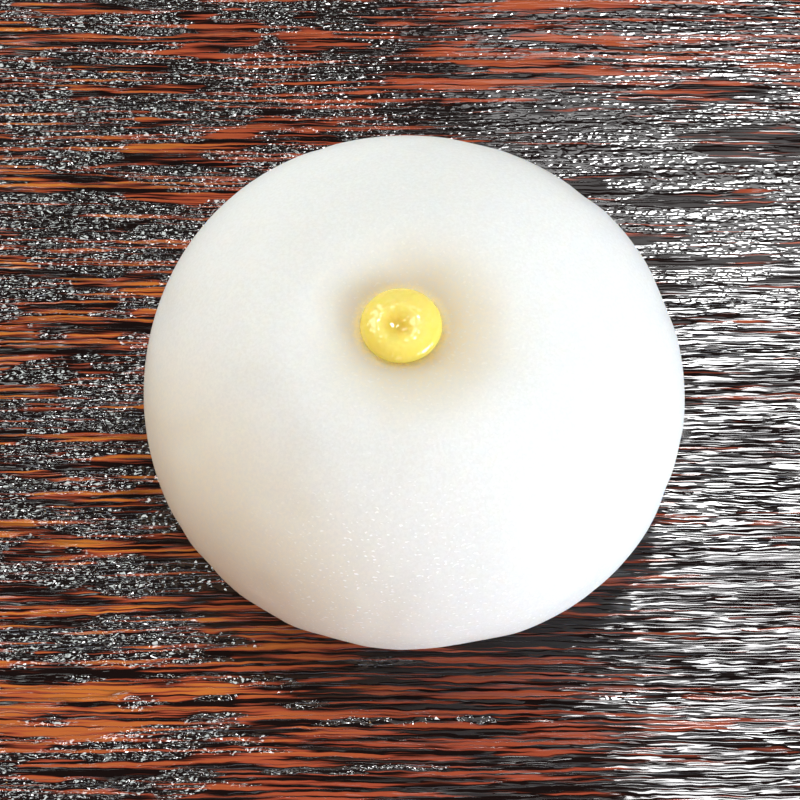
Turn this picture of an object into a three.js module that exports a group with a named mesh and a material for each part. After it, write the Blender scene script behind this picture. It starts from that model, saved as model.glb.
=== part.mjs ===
// Uiro on a stand: a steamed rice-flour sweet shaped by hand into a low dome, with a soft dimple pressed
// into its top and a small yellow centre set in the dimple. It sits on a dark wooden stand, a board whose
// grain runs along X, carried by two cleats that run across the grain.
// Millimetres, +Z up. The origin is on the surface the stand rests on, below the middle of the board.
import * as THREE from "three";
import { mergeVertices } from "three/addons/utils/BufferGeometryUtils.js";

// Stand
const BOARD_LENGTH = 130;
const BOARD_WIDTH = 110;
const BOARD_THICKNESS = 10;
const BOARD_CORNER = 3;
const BOARD_EDGE_ROUND = 1.2;
const CLEAT_HEIGHT = 8;
const CLEAT_WIDTH = 12;
const CLEAT_LENGTH = 94;
const CLEAT_END_SLOPE = 5;
const CLEAT_EDGE_ROUND = 0.6;
const CLEAT_SETBACK = 14;
const EDGE_STEPS = 3;
const CORNER_STEPS = 4;

// Sweet: a flat base that swells to the belly, then a dome with the dimple pressed into its top
const SWEET_RADIUS = 25;
const SWEET_BASE_RADIUS = 20.4;
const BELLY_HEIGHT = 9.4;
const DOME_RISE = 15.6;
const DIMPLE_DEPTH = 2.6;
const DIMPLE_REACH = 14;
const DIMPLE_FULLNESS = 1.5;
const SEAT_RADIUS = 3.64;
const SWEET_SIDES = 72;
const BELLY_STEPS = 9;
const DOME_STEPS = 28;

// Hand shaping of the sweet: lobes that swell its plan, and the dimple pressed a little to one side.
// A swell's amount is a share of the radius, and its bearing is the direction of one of its lobes.
const SWELLS = [
  { lobes: 2, amount: 0.0053, bearing: 135 },
  { lobes: 3, amount: 0.006, bearing: -19 },
  { lobes: 4, amount: 0.0067, bearing: 45 },
];
const DIMPLE_SHIFT = new THREE.Vector2(-1.1, -0.45);
const SHIFT_FULL_RADIUS = 8;
const RIM_WAVE_HEIGHT = 0.22;
const RIM_WAVE_LOBES = 3;
const RIM_WAVE_BEARING = 50;

// Yellow centre: a low button that stands in its seat, with a full dome. A basin and a smaller pit are
// pressed into the dome, each a little off its middle.
const FOOT_RADIUS = 3.6;
const CENTRE_RADIUS = 3.63;
const WIDEST_HEIGHT = 0.3;
const CENTRE_RISE = 1.5;
const CENTRE_FULLNESS = 2.6;
const BASIN = { x: -0.45, y: -0.45, reach: 1.9, depth: 0.6 };
const PIT = { x: 0.3, y: -0.95, reach: 0.9, depth: 0.22 };
const CENTRE_SIDES = 44;
const CENTRE_STEPS = 20;

// Heights that follow from the sizes above
const BOARD_TOP = CLEAT_HEIGHT + BOARD_THICKNESS;
const SEAT_HEIGHT = domeHeight(SEAT_RADIUS) - DIMPLE_DEPTH;

const WHITE_SWEET = new THREE.MeshStandardMaterial({ color: 0xf0ebe2, roughness: 0.45, metalness: 0 });
const YELLOW_SWEET = new THREE.MeshStandardMaterial({ color: 0xeed35a, roughness: 0.2, metalness: 0 });
const DARK_LACQUER = new THREE.MeshStandardMaterial({ color: 0x3a1f16, roughness: 0.3, metalness: 0 });

// An even rise from 0 to 1 that starts and ends level
function smoothRise(share) {
  const t = THREE.MathUtils.clamp(share, 0, 1);
  return t * t * (3 - 2 * t);
}

// Height of the undented dome over a radius
function domeHeight(radius) {
  return BELLY_HEIGHT + DOME_RISE * Math.sqrt(1 - (radius / SWEET_RADIUS) ** 2);
}

// Height of the sweet's top with the dimple pressed in: level under the yellow centre, then a funnel that
// is steepest near the centre and fades out into a soft rim
function topHeight(radius) {
  const outward = THREE.MathUtils.clamp((radius - SEAT_RADIUS) / (DIMPLE_REACH - SEAT_RADIUS), 0, 1);
  return domeHeight(radius) - DIMPLE_DEPTH * (1 - outward) ** 3 * (1 + DIMPLE_FULLNESS * outward);
}

// A profile turned about +Z into a closed solid; it runs from the axis at the bottom to the axis at the top
function turned(profile, sides) {
  const geometry = new THREE.LatheGeometry(profile, sides);
  geometry.rotateX(Math.PI / 2);
  geometry.deleteAttribute("normal");
  geometry.deleteAttribute("uv");
  return mergeVertices(geometry);
}

// Moves every vertex of a geometry by a function that changes the point it is given
function reshape(geometry, move) {
  const position = geometry.getAttribute("position");
  const point = new THREE.Vector3();
  for (let i = 0; i < position.count; i += 1) {
    point.fromBufferAttribute(position, i);
    move(point);
    position.setXYZ(i, point.x, point.y, point.z);
  }
  geometry.computeVertexNormals();
  return geometry;
}

function sweetProfile() {
  const profile = [new THREE.Vector2(0, 0)];
  for (let step = 0; step < BELLY_STEPS; step += 1) {
    const turn = (step / BELLY_STEPS) * (Math.PI / 2);
    const radius = SWEET_BASE_RADIUS + (SWEET_RADIUS - SWEET_BASE_RADIUS) * Math.sin(turn);
    profile.push(new THREE.Vector2(radius, BELLY_HEIGHT * (1 - Math.cos(turn))));
  }
  const seatTurn = Math.acos(SEAT_RADIUS / SWEET_RADIUS);
  for (let step = 0; step <= DOME_STEPS; step += 1) {
    const radius = SWEET_RADIUS * Math.cos((step / DOME_STEPS) * seatTurn);
    profile.push(new THREE.Vector2(radius, topHeight(radius)));
  }
  profile.push(new THREE.Vector2(0, SEAT_HEIGHT));
  return profile;
}

// Presses the turned sweet out of true, as hands do, and leaves its base and the seat of its centre level
function shapeSweet(point) {
  const radius = Math.hypot(point.x, point.y);
  const bearing = Math.atan2(point.y, point.x);
  let swell = 1;
  for (const { lobes, amount, bearing: lobe } of SWELLS) {
    swell += amount * Math.cos(lobes * (bearing - THREE.MathUtils.degToRad(lobe)));
  }
  if (point.z > BELLY_HEIGHT) {
    const rise = smoothRise((radius - SEAT_RADIUS) / (DIMPLE_REACH - SEAT_RADIUS));
    const fall = smoothRise((SWEET_RADIUS - radius) / (SWEET_RADIUS - DIMPLE_REACH));
    const wave = Math.cos(RIM_WAVE_LOBES * (bearing - THREE.MathUtils.degToRad(RIM_WAVE_BEARING)));
    point.z += RIM_WAVE_HEIGHT * wave * rise * fall;
  }
  point.x *= swell;
  point.y *= swell;
  if (point.z > BELLY_HEIGHT) {
    const held = smoothRise((radius - SHIFT_FULL_RADIUS) / (SWEET_RADIUS - SHIFT_FULL_RADIUS));
    point.x += DIMPLE_SHIFT.x * (1 - held);
    point.y += DIMPLE_SHIFT.y * (1 - held);
  }
}

// Height of the yellow centre's dome over a radius, before anything is pressed into it
function centreTop(radius) {
  return WIDEST_HEIGHT + CENTRE_RISE * Math.sqrt(1 - (radius / CENTRE_RADIUS) ** CENTRE_FULLNESS);
}

function centreProfile() {
  const profile = [new THREE.Vector2(0, 0), new THREE.Vector2(FOOT_RADIUS, 0)];
  for (let step = 0; step < CENTRE_STEPS; step += 1) {
    const radius = CENTRE_RADIUS * Math.cos((step / CENTRE_STEPS) * (Math.PI / 2));
    profile.push(new THREE.Vector2(radius, centreTop(radius)));
  }
  profile.push(new THREE.Vector2(0, centreTop(0)));
  return profile;
}

// How deep a rounded tip presses, at a point beside or under it
function pressed(point, tip) {
  const away = Math.min(Math.hypot(point.x - tip.x, point.y - tip.y) / tip.reach, 1);
  return tip.depth * (1 - away ** 2) ** 2;
}

// Presses the basin and the pit into the dome of the yellow centre
function shapeCentre(point) {
  if (point.z <= WIDEST_HEIGHT) return;
  point.z -= pressed(point, BASIN) + pressed(point, PIT);
}

function roundedRectangle(length, width, corner) {
  const x = length / 2;
  const y = width / 2;
  const outline = new THREE.Shape();
  outline.moveTo(x, y - corner);
  outline.absarc(x - corner, y - corner, corner, 0, Math.PI / 2);
  outline.absarc(corner - x, y - corner, corner, Math.PI / 2, Math.PI);
  outline.absarc(corner - x, corner - y, corner, Math.PI, Math.PI * 1.5);
  outline.absarc(x - corner, corner - y, corner, Math.PI * 1.5, Math.PI * 2);
  return outline;
}

// An outline extruded to a thickness along +Z from 0, its edges rounded within its nominal size
function slab(outline, thickness, edgeRound) {
  const geometry = new THREE.ExtrudeGeometry(outline, {
    depth: thickness - 2 * edgeRound,
    bevelThickness: edgeRound,
    bevelSize: edgeRound,
    bevelOffset: -edgeRound,
    bevelSegments: EDGE_STEPS,
    curveSegments: CORNER_STEPS,
  });
  return geometry.translate(0, 0, edgeRound);
}

// A cleat seen from its side: a bar whose ends slope in towards the floor, lying along Y
function cleatGeometry() {
  const half = CLEAT_LENGTH / 2;
  const outline = new THREE.Shape();
  outline.moveTo(-half + CLEAT_END_SLOPE, 0);
  outline.lineTo(half - CLEAT_END_SLOPE, 0);
  outline.lineTo(half, CLEAT_HEIGHT);
  outline.lineTo(-half, CLEAT_HEIGHT);
  const bar = slab(outline, CLEAT_WIDTH, CLEAT_EDGE_ROUND);
  bar.translate(0, 0, -CLEAT_WIDTH / 2);
  bar.rotateX(Math.PI / 2);
  bar.rotateZ(Math.PI / 2);
  return bar;
}

function part(name, geometry, material, x, y, z) {
  const mesh = new THREE.Mesh(geometry, material);
  mesh.name = name;
  mesh.position.set(x, y, z);
  return mesh;
}

const stand = new THREE.Group();
const boardOutline = roundedRectangle(BOARD_LENGTH, BOARD_WIDTH, BOARD_CORNER);
const board = slab(boardOutline, BOARD_THICKNESS, BOARD_EDGE_ROUND);
const cleatX = BOARD_LENGTH / 2 - CLEAT_SETBACK - CLEAT_WIDTH / 2;
stand.add(part("stand_board", board, DARK_LACQUER, 0, 0, CLEAT_HEIGHT));
stand.add(part("stand_cleat_left", cleatGeometry(), DARK_LACQUER, -cleatX, 0, 0));
stand.add(part("stand_cleat_right", cleatGeometry(), DARK_LACQUER, cleatX, 0, 0));

const sweet = new THREE.Group();
sweet.position.z = BOARD_TOP;
const dome = reshape(turned(sweetProfile(), SWEET_SIDES), shapeSweet);
const centre = reshape(turned(centreProfile(), CENTRE_SIDES), shapeCentre);
sweet.add(part("uiro", dome, WHITE_SWEET, 0, 0, 0));
sweet.add(part("yellow_centre", centre, YELLOW_SWEET, DIMPLE_SHIFT.x, DIMPLE_SHIFT.y, SEAT_HEIGHT));

const uiroOnStand = new THREE.Group();
uiroOnStand.add(stand, sweet);

export default uiroOnStand;
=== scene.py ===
"""The looks of an uiro on its stand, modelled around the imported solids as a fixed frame.

A white rice-flour sweet, shaped by hand and dimpled, holds a glossy yellow centre. It sits on a board of
dark lacquered wood with a brushed grain, carried by two cleats. Sizes are in millimetres and are turned
into metres as each piece is made.
"""
import logging
import math
from collections.abc import Iterable
from dataclasses import dataclass, field
from enum import Enum
from typing import NamedTuple

import bpy
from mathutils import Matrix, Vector


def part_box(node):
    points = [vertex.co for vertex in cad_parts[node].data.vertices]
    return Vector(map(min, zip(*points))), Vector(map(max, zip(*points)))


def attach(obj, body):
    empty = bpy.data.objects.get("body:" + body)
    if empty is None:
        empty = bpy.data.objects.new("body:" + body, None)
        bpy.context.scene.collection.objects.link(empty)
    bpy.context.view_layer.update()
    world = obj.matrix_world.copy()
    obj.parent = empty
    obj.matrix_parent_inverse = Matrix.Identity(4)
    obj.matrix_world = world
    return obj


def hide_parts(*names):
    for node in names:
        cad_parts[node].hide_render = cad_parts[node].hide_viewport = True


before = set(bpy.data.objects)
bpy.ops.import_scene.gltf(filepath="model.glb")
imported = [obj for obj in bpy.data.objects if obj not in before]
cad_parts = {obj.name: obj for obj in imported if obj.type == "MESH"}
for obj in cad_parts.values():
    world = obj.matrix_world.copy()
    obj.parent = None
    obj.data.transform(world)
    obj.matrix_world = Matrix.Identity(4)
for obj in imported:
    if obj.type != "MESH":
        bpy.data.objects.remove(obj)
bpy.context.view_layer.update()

Socket = bpy.types.NodeSocket
Number = float | Socket
Colour = tuple[float, float, float]
Size = tuple[float, float, float]
Place = tuple[float, float, float]
Point = tuple[float, float]
Range = tuple[float, float]

LOG = logging.getLogger("uiro_on_stand")
MM = 0.001
BODY = "root"
WHITE: Colour = (1.0, 1.0, 1.0)
DIMPLE_AXIS: Point = (-1.1, -0.45)  # where the middle of the dimple is in plan
SWEET_LEVEL = 30.0  # the height that the light panels face
NOISE_MIDDLE = 0.5  # the value that Blender's noise varies about
LOOKS_DOWN = -0.5  # a face whose normal has a lower Z looks down


class Slot(Enum):
    """The record's material slots."""

    WHITE_SWEET = "white_sweet"
    YELLOW_SWEET = "yellow_sweet"
    DARK_LACQUER = "dark_lacquer"


class Grain(Enum):
    """The way that the grain of a wooden piece runs."""

    ALONG_X = "along_x"
    ALONG_Y = "along_y"


class Side(Enum):
    """The side of the stand that a cleat is on."""

    LEFT = "left"
    RIGHT = "right"


class Ramp(Enum):
    """How a number passes from one end of a range to the other."""

    SOFT = "SMOOTHSTEP"
    STRAIGHT = "LINEAR"


class Ring(NamedTuple):
    """One level of a turned form: its radius and its height, in millimetres."""

    radius: float
    height: float


class Swell(NamedTuple):
    """A wave round a turned form: how many lobes, how high, and where one lobe points, in degrees."""

    lobes: int
    amount: float
    bearing: float

    def at(self, bearing: float) -> float:
        """The height of the wave at a bearing in radians."""
        return self.amount * math.cos(self.lobes * (bearing - math.radians(self.bearing)))


class Tip(NamedTuple):
    """A rounded tip pressed into a surface: where, how wide and how deep, in millimetres."""

    x: float
    y: float
    reach: float
    depth: float

    def depth_at(self, x: float, y: float) -> float:
        """How deep the tip presses at a place, nothing beyond its reach."""
        away = min(math.hypot(x - self.x, y - self.y) / self.reach, 1.0)
        return self.depth * (1.0 - away ** 2) ** 2


class Layer(NamedTuple):
    """A cloudy layer of a pattern: the size of its features in millimetres, and how strongly it counts.

    The detail is how many finer layers it has in itself, and the swirl is how far it is stirred.
    """

    size: Size
    strength: float = 1.0
    detail: float = 1.0
    swirl: float = 0.0


def smooth_rise(share: float) -> float:
    """An even rise from 0 to 1 that starts and ends level, for a share held between 0 and 1."""
    held = min(max(share, 0.0), 1.0)
    return held * held * (3.0 - 2.0 * held)


class NodePad:
    """Lays nodes in one tree, of a material or of geometry, and joins them."""

    def __init__(self, tree: bpy.types.NodeTree) -> None:
        """Starts on a tree, which is emptied."""
        self.tree = tree
        tree.nodes.clear()

    def node(self, kind: str, **settings: object) -> bpy.types.Node:
        """Adds a node.

        Args:
            kind: Blender's name of the node's type.
            settings: Properties of the node and their values.

        Returns:
            The new node.
        """
        made = self.tree.nodes.new(kind)
        for name, value in settings.items():
            setattr(made, name, value)
        return made

    def feed(self, target: Socket, value: object) -> None:
        """Gives an input its value.

        Args:
            target: The input.
            value: Another node's output to join it to, or a plain value.
        """
        if isinstance(value, Socket):
            self.tree.links.new(value, target)
        else:
            target.default_value = value

    def maths(self, operation: str, first: Number, second: Number = 0.0) -> Socket:
        """Works on one or two numbers.

        Args:
            operation: The operation's name.
            first: The first number.
            second: The second number, where the operation takes two.

        Returns:
            The result.
        """
        made = self.node("ShaderNodeMath", operation=operation)
        self.feed(made.inputs[0], first)
        self.feed(made.inputs[1], second)
        return made.outputs[0]

    def times(self, first: Number, second: Number) -> Socket:
        """Multiplies two numbers."""
        return self.maths("MULTIPLY", first, second)

    def total(self, first: Number, *others: Number) -> Socket:
        """Adds numbers up.

        Args:
            first: The first number.
            others: The other numbers.

        Returns:
            Their sum.
        """
        so_far = first
        for other in others:
            so_far = self.maths("ADD", so_far, other)
        return so_far

    def away(self, x: Number, y: Number, centre: Point) -> Socket:
        """The distance of a flat place from a centre.

        Args:
            x: The place along the first axis.
            y: The place along the second axis.
            centre: The centre.

        Returns:
            The distance.
        """
        squares = []
        for at, middle in zip((x, y), centre):
            side = self.maths("SUBTRACT", at, middle)
            squares.append(self.times(side, side))
        return self.maths("SQRT", self.total(*squares))

    def between(
        self,
        value: Number,
        low: Number,
        high: Number,
        to_low: Number = 0.0,
        to_high: Number = 1.0,
        ramp: Ramp = Ramp.SOFT,
    ) -> Socket:
        """Carries a number from one range to another and holds it there.

        Args:
            value: The number.
            low: The value that gives to_low.
            high: The value that gives to_high.
            to_low: The result at low.
            to_high: The result at high.
            ramp: How the result passes from one end to the other.

        Returns:
            The result.
        """
        made = self.node("ShaderNodeMapRange", interpolation_type=ramp.value, clamp=True)
        for target, given in zip(made.inputs, (value, low, high, to_low, to_high)):
            self.feed(target, given)
        return made.outputs[0]

    def scaled(self, vector: Socket, factors: tuple[float, ...]) -> Socket:
        """Multiplies a vector, one factor for each axis.

        Args:
            vector: The vector.
            factors: The factors for X, Y and Z.

        Returns:
            The scaled vector.
        """
        made = self.node("ShaderNodeVectorMath", operation="MULTIPLY")
        self.feed(made.inputs[0], vector)
        self.feed(made.inputs[1], factors)
        return made.outputs[0]

    def in_millimetres(self, place: Socket) -> Socket:
        """Turns a place in metres into millimetres."""
        return self.scaled(place, (1 / MM,) * 3)

    def split(self, vector: Socket) -> tuple[Socket, Socket, Socket]:
        """Takes a vector apart.

        Args:
            vector: The vector.

        Returns:
            Its X, Y and Z.
        """
        made = self.node("ShaderNodeSeparateXYZ")
        self.feed(made.inputs[0], vector)
        return made.outputs[0], made.outputs[1], made.outputs[2]

    def joined(self, x: Number, y: Number, z: Number) -> Socket:
        """Puts a vector together.

        Args:
            x: Its X.
            y: Its Y.
            z: Its Z.

        Returns:
            The vector.
        """
        made = self.node("ShaderNodeCombineXYZ")
        for target, value in zip(made.inputs, (x, y, z)):
            self.feed(target, value)
        return made.outputs[0]

    def layer(self, place: Socket, layer: Layer) -> Socket:
        """Reads a layer of a pattern.

        Args:
            place: Where it is read, in millimetres.
            layer: The layer.

        Returns:
            Its value, mostly within 0.3 of zero where its strength is 1.
        """
        made = self.node("ShaderNodeTexNoise")
        near = self.scaled(place, tuple(1 / side for side in layer.size))
        settings = {"Vector": near, "Scale": 1.0, "Detail": layer.detail, "Distortion": layer.swirl}
        for name, value in settings.items():
            self.feed(made.inputs[name], value)
        return self.times(self.maths("SUBTRACT", made.outputs[0], NOISE_MIDDLE), layer.strength)

    def blend(self, share: Number, first: Colour | Socket, second: Colour | Socket) -> Socket:
        """Mixes two colours.

        Args:
            share: How much of the second colour, from 0 to 1.
            first: The first colour.
            second: The second colour.

        Returns:
            The mixed colour.
        """
        made = self.node("ShaderNodeMix", data_type="RGBA", clamp_factor=True)
        sockets = {s.identifier: s for s in made.inputs}
        self.feed(sockets["Factor_Float"], share)
        for name, colour in (("A_Color", first), ("B_Color", second)):
            self.feed(sockets[name], (*colour, 1.0) if isinstance(colour, tuple) else colour)
        return next(s for s in made.outputs if s.identifier == "Result_Color")

    def bump(self, height: Socket) -> Socket:
        """Tilts the surface's normal by a height.

        Args:
            height: The height, in millimetres.

        Returns:
            The tilted normal.
        """
        made = self.node("ShaderNodeBump")
        for name, value in {"Strength": 1.0, "Distance": MM, "Height": height}.items():
            self.feed(made.inputs[name], value)
        return made.outputs[0]


@dataclass(frozen=True)
class Relief:
    """A pattern of shallow hollows that a surface is carved with. Sizes in millimetres.

    The piece stays plain below a level, and the hollows fade in above it.
    """

    level_below: float = 0.0
    level_fade: float = 1.0

    def hollows(self, pad: NodePad, place: Socket) -> Socket:
        """How deep the hollows are.

        Args:
            pad: The pad to lay nodes on.
            place: The place on the piece, in millimetres.

        Returns:
            The depth, in millimetres.
        """
        raise NotImplementedError

    def depth(self, pad: NodePad, place: Socket) -> Socket:
        """How deep the surface lies.

        Args:
            pad: The pad to lay nodes on.
            place: The place on the piece, in millimetres.

        Returns:
            The depth, in millimetres.
        """
        height = pad.split(place)[2]
        fade = pad.between(height, self.level_below, self.level_below + self.level_fade)
        return pad.times(self.hollows(pad, place), fade)


class Finish:
    """A finish of a piece, read from the place on the piece."""

    def inputs(self, pad: NodePad, place: Socket) -> dict[str, object]:
        """Works out what goes into the shader.

        Args:
            pad: The pad to lay nodes on.
            place: The place on the piece, in millimetres.

        Returns:
            The values of the shader's inputs, by their names.
        """
        raise NotImplementedError

    def made(self, name: str) -> bpy.types.Material:
        """Makes the material.

        Args:
            name: The material's name.

        Returns:
            The material.
        """
        material = bpy.data.materials.new(name)
        material.use_nodes = True
        pad = NodePad(material.node_tree)
        place = pad.in_millimetres(pad.node("ShaderNodeTexCoord").outputs["Object"])
        shader = pad.node("ShaderNodeBsdfPrincipled")
        for socket, value in self.inputs(pad, place).items():
            pad.feed(shader.inputs[socket], value)
        pad.feed(pad.node("ShaderNodeOutputMaterial").inputs["Surface"], shader.outputs[0])
        return material


class Bench:
    """Where pieces are modelled by hand: selections, rings, modifiers and handing over."""

    @staticmethod
    def clear() -> None:
        """Deselects every object."""
        bpy.ops.object.select_all(action="DESELECT")

    @staticmethod
    def named(name: str) -> bpy.types.Object:
        """Names the piece just added and bakes its place into its mesh.

        Args:
            name: The piece's name.

        Returns:
            The piece.
        """
        piece = bpy.context.object
        piece.name = name
        piece.data.name = name
        bpy.ops.object.transform_apply(location=True, rotation=True, scale=True)
        return piece

    @staticmethod
    def raise_rings(rings: Iterable[Ring], base: Ring, floor: float) -> None:
        """Extrudes the selected face from ring to ring, in edit mode.

        Args:
            rings: The rings to pass through, after the first.
            base: The ring that the selected face has now.
            floor: The height that ring heights are measured from, in metres.
        """
        last = base
        for ring in rings:
            lift = (ring.height - last.height) * MM
            bpy.ops.mesh.extrude_region_move(TRANSFORM_OT_translate={"value": (0.0, 0.0, lift)})
            share = ring.radius / last.radius
            centre = (0.0, 0.0, floor + ring.height * MM)
            bpy.ops.transform.resize(value=(share, share, 1.0), center_override=centre)
            last = ring

    @staticmethod
    def turned(name: str, rings: list[Ring], sides: int, floor: float) -> bpy.types.Object:
        """Models a turned form from its rings, closed by a point on the axis at the top.

        Args:
            name: The piece's name.
            rings: Its rings from the base up.
            sides: How many sides a ring has.
            floor: The height of its base, in metres.

        Returns:
            The piece.
        """
        Bench.clear()
        base = rings[0]
        bpy.ops.mesh.primitive_circle_add(
            vertices=sides, radius=base.radius * MM, fill_type="NGON", location=(0.0, 0.0, floor)
        )
        piece = Bench.named(name)
        bpy.ops.object.mode_set(mode="EDIT")
        bpy.ops.mesh.select_all(action="SELECT")
        Bench.raise_rings(rings[1:], base, floor)
        bpy.ops.mesh.extrude_region_move()
        bpy.ops.mesh.merge(type="CENTER")
        Bench.face_outwards()
        return piece

    @staticmethod
    def face_outwards() -> None:
        """Turns all faces of the piece in edit mode outwards, and leaves edit mode."""
        bpy.ops.mesh.select_all(action="SELECT")
        bpy.ops.mesh.normals_make_consistent(inside=False)
        bpy.ops.object.mode_set(mode="OBJECT")

    @staticmethod
    def apply(piece: bpy.types.Object, modifier: bpy.types.Modifier) -> None:
        """Makes a modifier's result the piece's own mesh.

        Args:
            piece: The piece.
            modifier: The modifier.
        """
        Bench.clear()
        piece.select_set(True)
        bpy.context.view_layer.objects.active = piece
        bpy.ops.object.modifier_apply(modifier=modifier.name)

    @staticmethod
    def smooth_out(piece: bpy.types.Object, levels: int) -> None:
        """Rounds a piece with a subdivision surface.

        Args:
            piece: The piece.
            levels: How many times its faces are split.
        """
        rounding = piece.modifiers.new("rounding", "SUBSURF")
        rounding.levels = levels
        rounding.render_levels = levels
        Bench.apply(piece, rounding)
        bpy.ops.object.shade_smooth()

    @staticmethod
    def carve(piece: bpy.types.Object, relief: Relief) -> None:
        """Sinks a relief into a piece's surface.

        Args:
            piece: The piece.
            relief: The relief, which says how deep each place lies.
        """
        group = bpy.data.node_groups.new(f"{piece.name}_relief", "GeometryNodeTree")
        for way in ("INPUT", "OUTPUT"):
            group.interface.new_socket("Geometry", in_out=way, socket_type="NodeSocketGeometry")
        pad = NodePad(group)
        place = pad.in_millimetres(pad.node("GeometryNodeInputPosition").outputs[0])
        inward = pad.node("ShaderNodeVectorMath", operation="SCALE")
        pad.feed(inward.inputs[0], pad.node("GeometryNodeInputNormal").outputs[0])
        pad.feed(inward.inputs["Scale"], pad.times(relief.depth(pad, place), -MM))
        moved = pad.node("GeometryNodeSetPosition")
        pad.feed(moved.inputs["Geometry"], pad.node("NodeGroupInput").outputs[0])
        pad.feed(moved.inputs["Offset"], inward.outputs[0])
        pad.feed(pad.node("NodeGroupOutput").inputs[0], moved.outputs[0])
        carving = piece.modifiers.new("carving", "NODES")
        carving.node_group = group
        Bench.apply(piece, carving)

    @staticmethod
    def hand_over(piece: bpy.types.Object, node: str, slot: Slot, finish: bpy.types.Material) -> None:
        """Dresses a piece and lets it stand for its solid.

        Args:
            piece: The piece.
            node: The solid's node.
            slot: The record's slot of its finish; not used.
            finish: Its material.
        """
        piece.data.materials.clear()
        piece.data.materials.append(finish)
        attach(piece, BODY)
        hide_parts(node)
        LOG.info("%s stands for %s: %d faces", piece.name, node, len(piece.data.polygons))


@dataclass(frozen=True)
class WoodPattern:
    """What the wood's colour, painted light and shadow, gloss and fine relief are read from."""

    softness: Socket
    painted_light_share: Socket
    granular: Socket
    groove: Socket
    height: Socket


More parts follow.
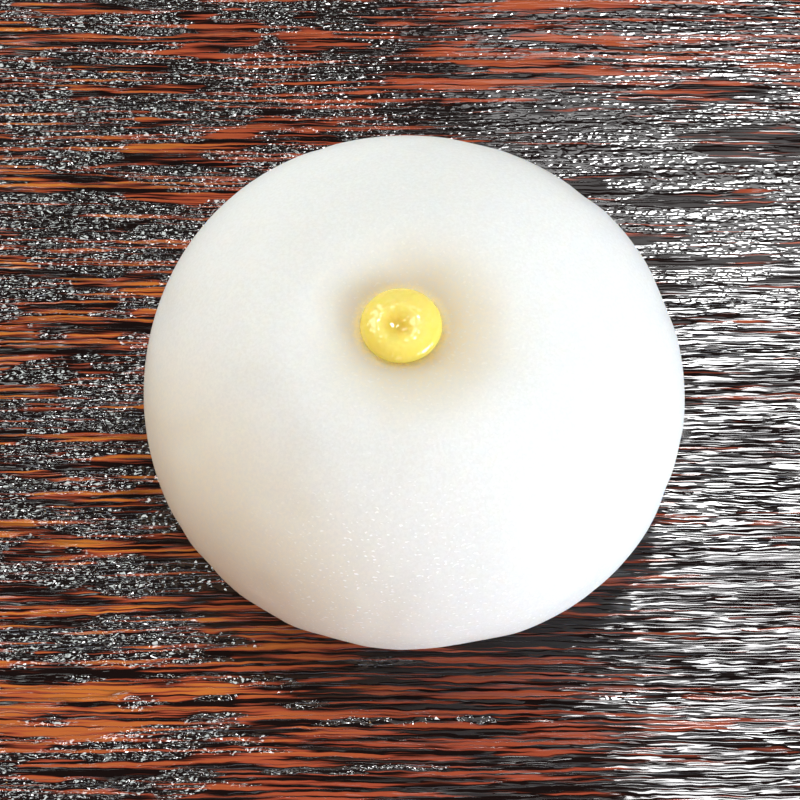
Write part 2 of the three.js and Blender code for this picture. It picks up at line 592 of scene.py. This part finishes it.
@dataclass(frozen=True)
class BrushedGrain(Relief):
    """A brushed grain: red-brown growth lines with zones of dark beaded grain between them.

    The wood darkens towards the right, except at its far edge. Painted light makes it more orange on the
    left, and a painted shadow of the sweet makes it redder and darker along its front. It has fewer beaded
    zones at the front and more at the back, and its relief is finer at the back of the dark side. Sizes and
    heights are in millimetres. A layer's size runs along the grain, across its rings and up.
    """

    direction: Grain = Grain.ALONG_X
    # How the grain lies, and the swells that the brushing left
    pith: Point = (-160.0, -70.0)
    sway: Layer = Layer((40.0, 12.0, 30.0), 1.5)
    waver: Layer = Layer((2.2, 0.70, 2.0), 0.30)
    swells: Layer = Layer((26.0, 1.25, 25.0))
    swell_range: Range = (-0.2, 0.2)
    swell_depth: float = 0.045

    # Where the wood is dark, and where painted light makes it orange and a painted shadow keeps it red
    ragged_border: Layer = Layer((90.0, 1.4, 40.0), 55.0)
    dark_slant: float = 0.26
    dark_side: Range = (8.0, 25.0)
    dark_softness: float = -0.32
    far_edge: Range = (33.0, 40.0)
    far_edge_share: float = -0.3
    painted_light_side: Range = (-30.0, -4.0)
    painted_light_elsewhere: float = 0.2
    painted_shadow_front: Range = (-36.0, -20.0)
    painted_shadow_share: float = 0.3

    # Where the grain is beaded
    zones: Layer = Layer((22.0, 2.4, 20.0))
    patches: Layer = Layer((6.0, 1.2, 8.0), 0.7)
    calm_front: Range = (-20.0, -9.0)
    calm_side: Range = (-24.0, -14.0)
    calm_zone: float = -0.22
    # painted shadow of the sweet, darkening the calm front
    calm_painted_shadow: float = -0.06
    rough_back: Range = (6.0, 24.0)
    rough_zone: float = 0.07
    granular_range: Range = (-0.04, 0.02)
    granular_softness: float = -0.22

    # The stripes of hard dark wood and soft light wood
    middle_softness: float = 0.5
    lines: Layer = Layer((20.0, 0.47, 20.0), 1.9)
    streaks: Layer = Layer((7.0, 0.24, 8.0), 1.6)
    bands: Layer = Layer((60.0, 5.0, 40.0), 0.5)
    fibres: Layer = Layer((9.0, 0.13, 6.0), 0.9)

    # The fine relief of the finish
    ridges: Layer = Layer((8.0, 0.36, 4.0), 0.145, detail=0.0)
    hairs: Layer = Layer((3.2, 0.19, 2.0), 0.055, detail=0.0)
    beads: Layer = Layer((0.72, 0.33, 0.50), 0.25, detail=0.0, swirl=0.6)
    bead_side: Range = (-4.0, 16.0)
    ropes: Layer = Layer((3.2, 0.28, 1.4), 0.10, detail=0.0)
    seams: Layer = Layer((22.0, 0.42, 5.0), detail=0.0)
    seam_reach: float = 0.05
    groove_depth: float = 0.05
    fine_back: Range = (10.0, 19.0)
    fine_ridges: float = 0.3
    fine_beads: float = 0.45
    fine_height: float = 0.38

    def lie(self, pad: NodePad, place: Socket) -> Socket:
        """Finds the way along the grain, across its rings and up.

        Args:
            pad: The pad to lay nodes on.
            place: The place on the piece, in millimetres.

        Returns:
            The place in the grain, in millimetres.
        """
        x, y, z = pad.split(place)
        along, across = (x, y) if self.direction is Grain.ALONG_X else (y, x)
        ring = pad.away(across, z, self.pith)
        straight = pad.joined(along, ring, z)
        bent = pad.total(ring, pad.layer(straight, self.sway), pad.layer(straight, self.waver))
        return pad.joined(along, bent, z)

    def hollows(self, pad: NodePad, place: Socket) -> Socket:
        """How deep the brushing went between the swells of the grain."""
        swell = pad.layer(self.lie(pad, place), self.swells)
        return pad.between(swell, *self.swell_range, self.swell_depth, 0.0)

    def pattern(self, pad: NodePad, place: Socket) -> WoodPattern:
        """Lays out where the wood is soft, granular, grooved and high, and its painted light and shadow.

        Args:
            pad: The pad to lay nodes on.
            place: The place on the piece, in millimetres.

        Returns:
            The pattern.
        """
        lie = self.lie(pad, place)
        x, y, _ = pad.split(place)
        across = pad.total(x, pad.times(y, self.dark_slant))
        ragged = pad.total(across, pad.layer(lie, self.ragged_border))

        calm = pad.times(pad.between(y, *self.calm_front, 1.0, 0.0), pad.between(ragged, *self.calm_side))
        zone = pad.total(
            pad.layer(lie, self.zones),
            pad.layer(lie, self.patches),
            pad.times(calm, self.calm_zone),
            pad.between(y, *self.rough_back, 0.0, self.rough_zone),
        )
        granular = pad.between(zone, *self.granular_range)

        dark = pad.between(ragged, *self.dark_side, 0.0, self.dark_softness)
        softness = pad.total(
            self.middle_softness,
            *(pad.layer(lie, stripes) for stripes in (self.lines, self.streaks, self.bands, self.fibres)),
            pad.times(granular, self.granular_softness),
            pad.times(dark, pad.between(y, *self.far_edge, 1.0, self.far_edge_share)),
            # painted shadow of the sweet: darker along the calm front
            pad.times(calm, self.calm_painted_shadow),
        )
        # painted light: more orange on the left; painted shadow of the sweet: less orange along the front
        painted_light_share = pad.times(
            pad.between(ragged, *self.painted_light_side, 1.0, self.painted_light_elsewhere),
            pad.between(y, *self.painted_shadow_front, self.painted_shadow_share, 1.0),
        )

        seam = pad.maths("ABSOLUTE", pad.layer(lie, self.seams))
        groove = pad.between(seam, 0.0, self.seam_reach, 1.0, 0.0)
        fine = pad.times(pad.between(y, *self.fine_back), pad.between(across, *self.dark_side))
        beaded = pad.total(pad.between(across, *self.bead_side, 1.0, 0.0), pad.times(fine, self.fine_beads))
        grit = pad.total(pad.times(pad.layer(lie, self.beads), beaded), pad.layer(lie, self.ropes))
        height = pad.total(
            pad.times(pad.layer(lie, self.ridges), pad.between(fine, 0.0, 1.0, 1.0, self.fine_ridges)),
            pad.layer(lie, self.hairs),
            pad.times(groove, -self.groove_depth),
            pad.times(grit, granular),
        )
        height = pad.times(height, pad.between(fine, 0.0, 1.0, 1.0, self.fine_height))
        return WoodPattern(softness, painted_light_share, granular, groove, height)


@dataclass(frozen=True)
class DarkLacquer(Finish):
    """Clear gloss lacquer over dark stained wood with red-brown streaks, glossiest on the granular wood.

    A range with a colour's name is the softness of the wood over which that colour comes in. The index and
    the roughness are those of smooth wood and of granular wood.
    """

    grain: BrushedGrain
    black: Colour = (0.0085, 0.0038, 0.0033)
    deep: Colour = (0.07, 0.014, 0.007)
    deep_range: Range = (0.41, 0.51)
    red_brown: Colour = (0.38, 0.066, 0.033)
    red_brown_range: Range = (0.49, 0.68)
    orange: Colour = (0.60, 0.185, 0.030)
    orange_range: Range = (0.60, 0.90)
    groove_darkening: float = 0.5
    index: Range = (1.45, 1.90)
    roughness: Range = (0.045, 0.06)

    def inputs(self, pad: NodePad, place: Socket) -> dict[str, object]:
        """Works out what goes into the shader.

        Args:
            pad: The pad to lay nodes on.
            place: The place on the piece, in millimetres.

        Returns:
            The values of the shader's inputs, by their names.
        """
        wood = self.grain.pattern(pad, place)
        colour = pad.blend(pad.between(wood.softness, *self.deep_range), self.black, self.deep)
        colour = pad.blend(pad.between(wood.softness, *self.red_brown_range), colour, self.red_brown)
        # orange of the lightest streaks, spread by painted light on the left and held back by painted shadow
        # at the front
        orange = pad.times(pad.between(wood.softness, *self.orange_range), wood.painted_light_share)
        colour = pad.blend(orange, colour, self.orange)
        # the grooves are darkened towards black
        colour = pad.blend(pad.times(wood.groove, self.groove_darkening), colour, self.black)
        return {
            "Base Color": colour,
            "Roughness": pad.between(wood.granular, 0.0, 1.0, *self.roughness),
            "IOR": pad.between(wood.granular, 0.0, 1.0, *self.index),
            "Normal": pad.bump(wood.height),
        }


@dataclass(frozen=True)
class DoughRelief(Relief):
    """The slight unevenness that hands leave on the dough. Sizes in millimetres."""

    level_fade: float = 1.5
    dents: Layer = Layer((7.0, 7.0, 7.0), 1.0)
    pores: Layer = Layer((1.1, 1.1, 1.1), 0.035, detail=2.0)

    def hollows(self, pad: NodePad, place: Socket) -> Socket:
        """How deep the soft dents and the fine orange-peel are, neither of which stands out.

        Args:
            pad: The pad to lay nodes on.
            place: The place on the piece, in millimetres.

        Returns:
            The depth, in millimetres.
        """
        dents = pad.maths("MAXIMUM", pad.layer(place, self.dents), 0.0)
        sunk = self.pores.strength * NOISE_MIDDLE
        return pad.total(dents, pad.layer(place, self.pores), sunk)


@dataclass(frozen=True)
class Translucence:
    """How far light goes into a sweet: its depth in millimetres, and its share of that in each colour."""

    depth: float
    spread: Colour

    def inputs(self) -> dict[str, object]:
        """The values of the shader's inputs for it, by their names."""
        depth = self.depth * MM
        return {"Subsurface Weight": 1.0, "Subsurface Radius": self.spread, "Subsurface Scale": depth}


@dataclass(frozen=True)
class SteamedDough(Finish):
    """Moist white rice-flour dough that lets light in, finely mottled.

    Painted yellow light lifts it against the yellow centre. It is warm round the centre, where the filling
    shows through and painted shade is added, and warmer and darker with painted shade towards its left front
    edge. White dots at its front are painted glints. Sizes and places are in millimetres.
    """

    axis: Point
    white: Colour = (0.79, 0.79, 0.78)
    warm: Colour = (0.78, 0.615, 0.33)
    # the warm halo: the filling showing through, with painted shade added
    halo_shift: Point = (0.9, -0.4)
    halo_reach: Range = (3.0, 12.5)
    halo_falloff: float = 2.0
    # painted warm shade towards the left front edge
    painted_shade_side: Point = (-0.74, -0.67)
    painted_shade_edge: Range = (12.5, 23.5)
    painted_shade_edge_share: float = 0.40
    # painted yellow light round the foot of the yellow centre
    painted_glow: Colour = (1.0, 0.85, 0.40)
    painted_glow_reach: Range = (3.6, 4.6)
    shade: Colour = (0.69, 0.68, 0.66)
    mottle: Layer = Layer((0.30, 0.30, 0.30), detail=2.0, swirl=0.6)
    mottle_range: Range = (-0.25, 0.25)
    mottle_share: float = 0.5
    # painted glints: white dots at the front
    painted_glint: Colour = WHITE
    painted_glint_dots: Layer = Layer((0.36, 0.28, 0.15), detail=0.0)
    painted_glint_range: Range = (0.232, 0.255)
    painted_glint_front: Range = (-22.0, -12.0)
    back_share: float = 0.15
    dull_left: Range = (-14.0, -4.0)
    left_share: float = 0.2
    roughness: float = 0.42
    index: float = 1.42
    gloss: float = 0.1
    light: Translucence = Translucence(11.0, (1.0, 0.80, 0.60))

    def inputs(self, pad: NodePad, place: Socket) -> dict[str, object]:
        """Works out what goes into the shader.

        Args:
            pad: The pad to lay nodes on.
            place: The place on the piece, in millimetres.

        Returns:
            The values of the shader's inputs, by their names.
        """
        x, y, _ = pad.split(place)
        # warm halo round the centre: the filling showing through, with painted shade added
        halo_middle = (self.axis[0] + self.halo_shift[0], self.axis[1] + self.halo_shift[1])
        fade = pad.between(pad.away(x, y, halo_middle), *self.halo_reach, 1.0, 0.0, Ramp.STRAIGHT)
        halo = pad.maths("POWER", fade, self.halo_falloff)
        # painted warm shade towards the left front edge, the side the panels leave in shade
        to_side = pad.total(pad.times(x, self.painted_shade_side[0]), pad.times(y, self.painted_shade_side[1]))
        edge = pad.between(to_side, *self.painted_shade_edge, 0.0, self.painted_shade_edge_share)
        colour = pad.blend(pad.total(halo, edge), self.white, self.warm)

        # painted yellow light that lifts the contact shade round the centre
        painted_glow = pad.between(pad.away(x, y, self.axis), *self.painted_glow_reach, 1.0, 0.0)
        colour = pad.blend(painted_glow, colour, self.painted_glow)
        mottle = pad.between(pad.layer(place, self.mottle), *self.mottle_range, self.mottle_share, 0.0)
        colour = pad.blend(mottle, colour, self.shade)

        # painted glints: white dots, most at the front and fewest on the left
        painted_glint_dots = pad.between(pad.layer(place, self.painted_glint_dots), *self.painted_glint_range)
        front = pad.times(
            pad.between(y, *self.painted_glint_front, 1.0, self.back_share),
            pad.between(x, *self.dull_left, self.left_share, 1.0),
        )
        colour = pad.blend(pad.times(painted_glint_dots, front), colour, self.painted_glint)
        return {
            "Base Color": colour,
            "Roughness": self.roughness,
            "IOR": self.index,
            "Specular IOR Level": self.gloss,
            **self.light.inputs(),
        }


@dataclass(frozen=True)
class YellowJelly(Finish):
    """Glossy translucent yellow, deeper in the basin and round the rim. Sizes and places in millimetres."""

    axis: Point
    basin: Point
    yellow: Colour = (0.96, 0.72, 0.19)
    deep: Colour = (0.92, 0.63, 0.10)
    basin_shade_reach: Range = (0.2, 1.7)
    rim: Range = (2.4, 3.6)
    rim_share: float = 0.6
    lumps: Layer = Layer((0.45, 0.45, 0.45), 0.07, detail=0.0)
    roughness: float = 0.08
    index: float = 1.48
    light: Translucence = Translucence(1.8, (1.0, 0.75, 0.30))

    def inputs(self, pad: NodePad, place: Socket) -> dict[str, object]:
        """Works out what goes into the shader.

        Args:
            pad: The pad to lay nodes on.
            place: The place on the piece, in millimetres.

        Returns:
            The values of the shader's inputs, by their names.
        """
        x, y, _ = pad.split(place)
        # the deeper yellow in the basin is painted shade; the deeper rim is the jelly's own colour
        share = pad.total(
            pad.between(pad.away(x, y, self.basin), *self.basin_shade_reach, 1.0, 0.0),
            pad.between(pad.away(x, y, self.axis), *self.rim, 0.0, self.rim_share),
        )
        return {
            "Base Color": pad.blend(share, self.yellow, self.deep),
            "Roughness": self.roughness,
            "IOR": self.index,
            "Normal": pad.bump(pad.layer(place, self.lumps)),
            **self.light.inputs(),
        }


@dataclass
class Sweet:
    """The white sweet: a low dome with a dimple in its top, shaped by hand. Sizes in millimetres.

    A swell's amount is a share of the radius, and the rim wave's is a height.
    """

    base_radius: float = 20.4
    radius: float = 25.0
    belly_height: float = 9.4
    dome_rise: float = 15.6
    dimple_depth: float = 2.6
    dimple_reach: float = 14.0
    dimple_fullness: float = 1.5
    dimple_shift: Point = DIMPLE_AXIS
    shift_full_radius: float = 8.0
    seat_radius: float = 3.64
    rim_wave: Swell = Swell(3, 0.22, 50.0)
    swells: tuple[Swell, ...] = (Swell(2, 0.0053, 135.0), Swell(3, 0.006, -19.0), Swell(4, 0.0067, 45.0))
    sides: int = 72
    belly_steps: int = 9
    dome_steps: int = 28
    rounding: int = 2
    floor: float = field(default_factory=lambda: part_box("uiro")[0].z)

    def dome_height(self, radius: float) -> float:
        """The height of the undented dome at a radius."""
        return self.belly_height + self.dome_rise * math.sqrt(1.0 - (radius / self.radius) ** 2)

    def top_height(self, radius: float) -> float:
        """The height of the top at a radius, with the dimple pressed in.

        Args:
            radius: The distance from the axis.

        Returns:
            The height above the base.
        """
        outward = min(max((radius - self.seat_radius) / (self.dimple_reach - self.seat_radius), 0.0), 1.0)
        funnel = (1.0 - outward) ** 3 * (1.0 + self.dimple_fullness * outward)
        return self.dome_height(radius) - self.dimple_depth * funnel

    def rings(self) -> list[Ring]:
        """The rings of the turned form, from the base up to the level seat of the yellow centre.

        Returns:
            The rings.
        """
        rings = []
        for step in range(self.belly_steps):
            turn = step / self.belly_steps * math.pi / 2
            radius = self.base_radius + (self.radius - self.base_radius) * math.sin(turn)
            rings.append(Ring(radius, self.belly_height * (1.0 - math.cos(turn))))
        seat_turn = math.acos(self.seat_radius / self.radius)
        for step in range(self.dome_steps + 1):
            radius = self.radius * math.cos(step / self.dome_steps * seat_turn)
            rings.append(Ring(radius, self.top_height(radius)))
        rings.append(Ring(self.seat_radius / 2, self.top_height(self.seat_radius)))
        return rings

    def press_by_hand(self, piece: bpy.types.Object) -> None:
        """Presses the turned form out of true, and leaves its base and its seat level.

        Args:
            piece: The turned form.
        """
        for vertex in piece.data.vertices:
            x, y = vertex.co.x / MM, vertex.co.y / MM
            height = (vertex.co.z - self.floor) / MM
            radius, bearing = math.hypot(x, y), math.atan2(y, x)
            swell = 1.0 + sum(lobes.at(bearing) for lobes in self.swells)
            x, y = x * swell, y * swell
            if height > self.belly_height:
                rise = smooth_rise((radius - self.seat_radius) / (self.dimple_reach - self.seat_radius))
                fall = smooth_rise((self.radius - radius) / (self.radius - self.dimple_reach))
                height += self.rim_wave.at(bearing) * rise * fall
                held = smooth_rise((radius - self.shift_full_radius) / (self.radius - self.shift_full_radius))
                x += self.dimple_shift[0] * (1.0 - held)
                y += self.dimple_shift[1] * (1.0 - held)
            vertex.co = (x * MM, y * MM, self.floor + height * MM)

    def build(self) -> bpy.types.Object:
        """Models the sweet.

        Returns:
            The piece.
        """
        piece = Bench.turned("white_uiro", self.rings(), self.sides, self.floor)
        self.press_by_hand(piece)
        Bench.smooth_out(piece, self.rounding)
        Bench.carve(piece, DoughRelief(level_below=self.floor / MM))
        return piece

    def dress(self, piece: bpy.types.Object) -> None:
        """Gives the sweet its finish."""
        finish = SteamedDough(axis=self.dimple_shift).made("steamed_dough")
        Bench.hand_over(piece, "uiro", Slot.WHITE_SWEET, finish)


@dataclass
class YellowCentre:
    """The yellow centre: a low domed button with a basin and a pit pressed into it. Sizes in millimetres."""

    foot_radius: float = 3.60
    radius: float = 3.63
    widest_height: float = 0.3
    rise: float = 1.499  # a hair less than the solid's, to stay inside its box
    fullness: float = 2.6
    basin: Tip = Tip(-0.45, -0.45, 1.90, 0.60)
    pit: Tip = Tip(0.30, -0.95, 0.90, 0.22)
    sides: int = 44
    steps: int = 18
    rounding: int = 2
    axis: Point = DIMPLE_AXIS
    floor: float = field(default_factory=lambda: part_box("yellow_centre")[0].z)

    def rings(self) -> list[Ring]:
        """The rings of the turned form, from the foot up to the middle of the dome.

        Returns:
            The rings.
        """
        rings = [Ring(self.foot_radius, 0.0)]
        for step in range(self.steps):
            radius = self.radius * math.cos(step / self.steps * math.pi / 2)
            dome = math.sqrt(1.0 - (radius / self.radius) ** self.fullness)
            rings.append(Ring(radius, self.widest_height + self.rise * dome))
        return rings

    def press_by_hand(self, piece: bpy.types.Object) -> None:
        """Presses the basin and the pit into the dome and moves the form to its seat.

        Args:
            piece: The turned form.
        """
        for vertex in piece.data.vertices:
            x, y = vertex.co.x / MM, vertex.co.y / MM
            height = (vertex.co.z - self.floor) / MM
            if height > self.widest_height:
                height -= self.basin.depth_at(x, y) + self.pit.depth_at(x, y)
            vertex.co = ((x + self.axis[0]) * MM, (y + self.axis[1]) * MM, self.floor + height * MM)

    def build(self) -> bpy.types.Object:
        """Models the yellow centre.

        Returns:
            The piece.
        """
        piece = Bench.turned("yellow_bead", self.rings(), self.sides, self.floor)
        Bench.smooth_out(piece, self.rounding)
        self.press_by_hand(piece)
        return piece

    def dress(self, piece: bpy.types.Object) -> None:
        """Gives the yellow centre its finish.

        Args:
            piece: The yellow centre.
        """
        basin = (self.axis[0] + self.basin.x, self.axis[1] + self.basin.y)
        finish = YellowJelly(axis=self.axis, basin=basin).made("yellow_jelly")
        Bench.hand_over(piece, "yellow_centre", Slot.YELLOW_SWEET, finish)


@dataclass
class Stand:
    """The wooden stand: a board with a brushed grain on two cleats. Sizes in millimetres, angles in degrees.

    Edges that turn by less than the smooth angle are shaded smooth.
    """

    corner: float = 3.0
    edge_round: float = 1.2
    edge_steps: int = 3
    side_steps: int = 4
    columns: int = 130
    rows: int = 400
    brushed_above: float = 0.5
    board_smooth_angle: float = 50.0
    cleat_slope: float = 5.0
    cleat_edge: float = 0.6
    cleat_edge_steps: int = 3
    cleat_smooth_angle: float = 35.0

    def edge_levels(self, low: float, high: float) -> list[Point]:
        """The levels that the board's edge passes through, from its face down to its underside.

        Args:
            low: The height of the underside, in metres.
            high: The height of the face, in metres.

        Returns:
            For each level, how far the edge stands out from the face and its height, in metres.
        """
        inset = self.edge_round * MM
        straight = high - low - 2 * inset
        turns = [step / self.edge_steps * math.pi / 2 for step in range(1, self.edge_steps + 1)]
        shares = [step / self.side_steps for step in range(1, self.side_steps + 1)]
        levels = [(math.sin(turn) * inset, high - inset * (1.0 - math.cos(turn))) for turn in turns]
        levels += [(inset, high - inset - straight * share) for share in shares]
        levels += [(math.cos(turn) * inset, low + inset * (1.0 - math.sin(turn))) for turn in turns]
        return levels

    def build_board(self) -> bpy.types.Object:
        """Models the board: a fine grid for its face, its edge turned down and its underside closed.

        Returns:
            The piece.
        """
        low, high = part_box("stand_board")
        inset = self.edge_round * MM
        half = Vector(((high.x - low.x) / 2, (high.y - low.y) / 2))
        face = half - Vector((inset, inset))
        Bench.clear()
        bpy.ops.mesh.primitive_grid_add(
            x_subdivisions=self.columns, y_subdivisions=self.rows, size=2.0, location=(0.0, 0.0, high.z)
        )
        bpy.context.object.scale = (face.x, face.y, 1.0)
        piece = Bench.named("board")
        bpy.ops.object.mode_set(mode="EDIT")
        bpy.ops.mesh.select_all(action="SELECT")
        bpy.ops.mesh.region_to_loop()
        at, height = face.copy(), high.z
        for out, level in self.edge_levels(low.z, high.z):
            grown = face + Vector((out, out))
            bpy.ops.mesh.extrude_edges_move(TRANSFORM_OT_translate={"value": (0.0, 0.0, level - height)})
            share = (grown.x / at.x, grown.y / at.y, 1.0)
            bpy.ops.transform.resize(value=share, center_override=(0.0, 0.0, level))
            at, height = grown, level
        bpy.ops.mesh.edge_face_add()
        Bench.face_outwards()
        self.round_corners(piece, half)
        bpy.ops.object.shade_smooth_by_angle(angle=math.radians(self.board_smooth_angle))
        Bench.carve(piece, BrushedGrain(level_below=low.z / MM + self.brushed_above))
        return piece

    def round_corners(self, piece: bpy.types.Object, half: Vector) -> None:
        """Draws the square corners of the board's plan in to a radius.

        Args:
            piece: The board.
            half: Half its length and half its width, in metres.
        """
        radius = self.corner * MM
        for vertex in piece.data.vertices:
            out_x = abs(vertex.co.x) - (half.x - radius)
            out_y = abs(vertex.co.y) - (half.y - radius)
            if out_x <= 0.0 or out_y <= 0.0:
                continue
            share = max(out_x, out_y) / math.hypot(out_x, out_y)
            vertex.co.x = math.copysign(half.x - radius + out_x * share, vertex.co.x)
            vertex.co.y = math.copysign(half.y - radius + out_y * share, vertex.co.y)

    def build_cleat(self, side: Side) -> bpy.types.Object:
        """Models a cleat: a bar whose ends slope in towards the floor.

        Args:
            side: The side of the stand that it is on.

        Returns:
            The piece.
        """
        low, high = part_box(f"stand_cleat_{side.value}")
        size, middle = high - low, (high + low) / 2
        Bench.clear()
        bpy.ops.mesh.primitive_cube_add(size=1.0, location=middle)
        bpy.context.object.scale = size
        piece = Bench.named(f"cleat_{side.value}")
        bpy.ops.object.mode_set(mode="EDIT")
        bpy.ops.mesh.select_all(action="DESELECT")
        bpy.ops.object.mode_set(mode="OBJECT")
        for polygon in piece.data.polygons:
            polygon.select = polygon.normal.z < LOOKS_DOWN
        bpy.ops.object.mode_set(mode="EDIT")
        share = 1.0 - 2 * self.cleat_slope * MM / size.y
        bpy.ops.transform.resize(value=(1.0, share, 1.0), center_override=(middle.x, middle.y, low.z))
        bpy.ops.mesh.select_all(action="SELECT")
        bpy.ops.mesh.bevel(offset=self.cleat_edge * MM, segments=self.cleat_edge_steps, affect="EDGES")
        bpy.ops.object.mode_set(mode="OBJECT")
        bpy.ops.object.shade_smooth_by_angle(angle=math.radians(self.cleat_smooth_angle))
        return piece

    def build(self) -> list[bpy.types.Object]:
        """Models the board and both cleats, and gives them in that order."""
        return [self.build_board(), *(self.build_cleat(side) for side in Side)]

    def dress(self, pieces: list[bpy.types.Object]) -> None:
        """Gives the stand its finish, with the grain along the board and along each cleat.

        Args:
            pieces: The board and the cleats.
        """
        along, across = (
            DarkLacquer(BrushedGrain(direction=grain)).made(f"dark_lacquer_{grain.value}") for grain in Grain
        )
        board, *cleats = pieces
        Bench.hand_over(board, "stand_board", Slot.DARK_LACQUER, along)
        for cleat, side in zip(cleats, Side):
            Bench.hand_over(cleat, f"stand_cleat_{side.value}", Slot.DARK_LACQUER, across)


@dataclass(frozen=True)
class Panel:
    """A soft light panel. Sizes and places in millimetres, turns in degrees.

    A panel with a turn hangs level, turned about Z. One without a turn faces the sweet.
    """

    name: str
    middle: Place
    size: tuple[float, float]
    radiance: float
    tint: Colour = WHITE
    turn: float | None = None

    @classmethod
    def towards(cls, name: str, bearing: float, elevation: float, distance: float, *rest: object) -> "Panel":
        """Places a panel by its direction from the sweet.

        Args:
            name: The panel's name.
            bearing: Its direction in plan, from +X towards +Y.
            elevation: Its height above the horizontal.
            distance: How far off it is.
            rest: Its size, radiance and tint.

        Returns:
            The panel.
        """
        turn, rise = math.radians(bearing), math.radians(elevation)
        flat = math.cos(rise) * distance
        middle = (math.cos(turn) * flat, math.sin(turn) * flat, SWEET_LEVEL + math.sin(rise) * distance)
        return cls(name, middle, *rest)

    def hang(self) -> None:
        """Hangs the panel as a light of its size."""
        light = bpy.data.lights.new(self.name, "AREA")
        light.shape = "RECTANGLE"
        light.size, light.size_y = self.size[0] * MM, self.size[1] * MM
        light.energy = self.radiance * math.pi * light.size * light.size_y
        light.color = self.tint
        lamp = bpy.data.objects.new(self.name, light)
        lamp.location = Vector(self.middle) * MM
        if self.turn is None:
            ahead = Vector((0.0, 0.0, SWEET_LEVEL)) - Vector(self.middle)
            lamp.rotation_euler = ahead.to_track_quat("-Z", "Y").to_euler()
        else:
            lamp.rotation_euler.z = math.radians(self.turn)
        bpy.context.scene.collection.objects.link(lamp)


@dataclass(frozen=True)
class Studio:
    """A pale floor, a window overhead, soft panels round the sweet, and a camera looking down at it.

    Sizes and places are in millimetres, angles in degrees.
    """

    elevation: float = 65.0
    distance: float = 250.0
    target: Place = (-1.2, -2.7, 30.0)
    focal_pixels: float = 2758.0
    frame_pixels: float = 800.0
    near_clip: float = 10.0
    floor_size: float = 6000.0
    floor_colour: Colour = (0.56, 0.55, 0.53)
    floor_roughness: float = 0.8
    fill: float = 0.05
    panels: tuple[Panel, ...] = (
        Panel("window", (96.0, 134.0, 500.0), (64.0, 142.0), 34.0, turn=-6.0),
        Panel.towards("right_side", -30.0, 10.0, 1600.0, (914.0, 503.0), 20.0, (0.93, 1.0, 1.07)),
        Panel("window_haze", (100.0, 284.0, 500.0), (214.0, 134.0), 2.3, turn=0.0),
        Panel.towards("left_back", 140.0, 48.0, 700.0, (460.0, 350.0), 6.9, (0.96, 1.02, 0.99)),
        Panel.towards("left_front", 225.0, 10.0, 700.0, (300.0, 200.0), 5.1, (1.0, 0.55, 0.23)),
        Panel.towards("front", 274.0, 8.0, 700.0, (400.0, 180.0), 3.8, (0.92, 1.0, 1.17)),
    )

    def lay_floor(self) -> None:
        """Lays a plain pale floor under the stand."""
        Bench.clear()
        bpy.ops.mesh.primitive_plane_add(size=self.floor_size * MM)
        floor = Bench.named("floor")
        material = bpy.data.materials.new("pale_floor")
        material.use_nodes = True
        shader = material.node_tree.nodes["Principled BSDF"]
        shader.inputs["Base Color"].default_value = (*self.floor_colour, 1.0)
        shader.inputs["Roughness"].default_value = self.floor_roughness
        floor.data.materials.append(material)

    def light(self) -> None:
        """Hangs the panels and lights the room softly."""
        for panel in self.panels:
            panel.hang()
        world = bpy.data.worlds.new("soft_room")
        world.use_nodes = True
        background = world.node_tree.nodes["Background"]
        background.inputs["Color"].default_value = (*WHITE, 1.0)
        background.inputs["Strength"].default_value = self.fill
        scene = bpy.context.scene
        scene.world = world
        scene.view_settings.view_transform = "Standard"

    def set_camera(self) -> None:
        """Stands the camera at the photograph's viewing angle."""
        data = bpy.data.cameras.new("camera")
        data.lens = data.sensor_width * self.focal_pixels / self.frame_pixels
        data.clip_start = self.near_clip * MM
        camera = bpy.data.objects.new("camera", data)
        rise = math.radians(self.elevation)
        back = Vector((0.0, -math.cos(rise), math.sin(rise)))
        camera.location = (Vector(self.target) + back * self.distance) * MM
        camera.rotation_mode = "QUATERNION"
        camera.rotation_quaternion = (-back).to_track_quat("-Z", "Y")
        bpy.context.scene.collection.objects.link(camera)
        bpy.context.scene.camera = camera


def main() -> None:
    """Builds and dresses each sub-assembly, then the studio."""
    logging.basicConfig(level=logging.INFO, format="%(message)s")
    studio = Studio()
    studio.set_camera()
    for assembly in (Sweet(), YellowCentre(), Stand()):
        assembly.dress(assembly.build())
    studio.lay_floor()
    studio.light()


if __name__ == "__main__":
    main()
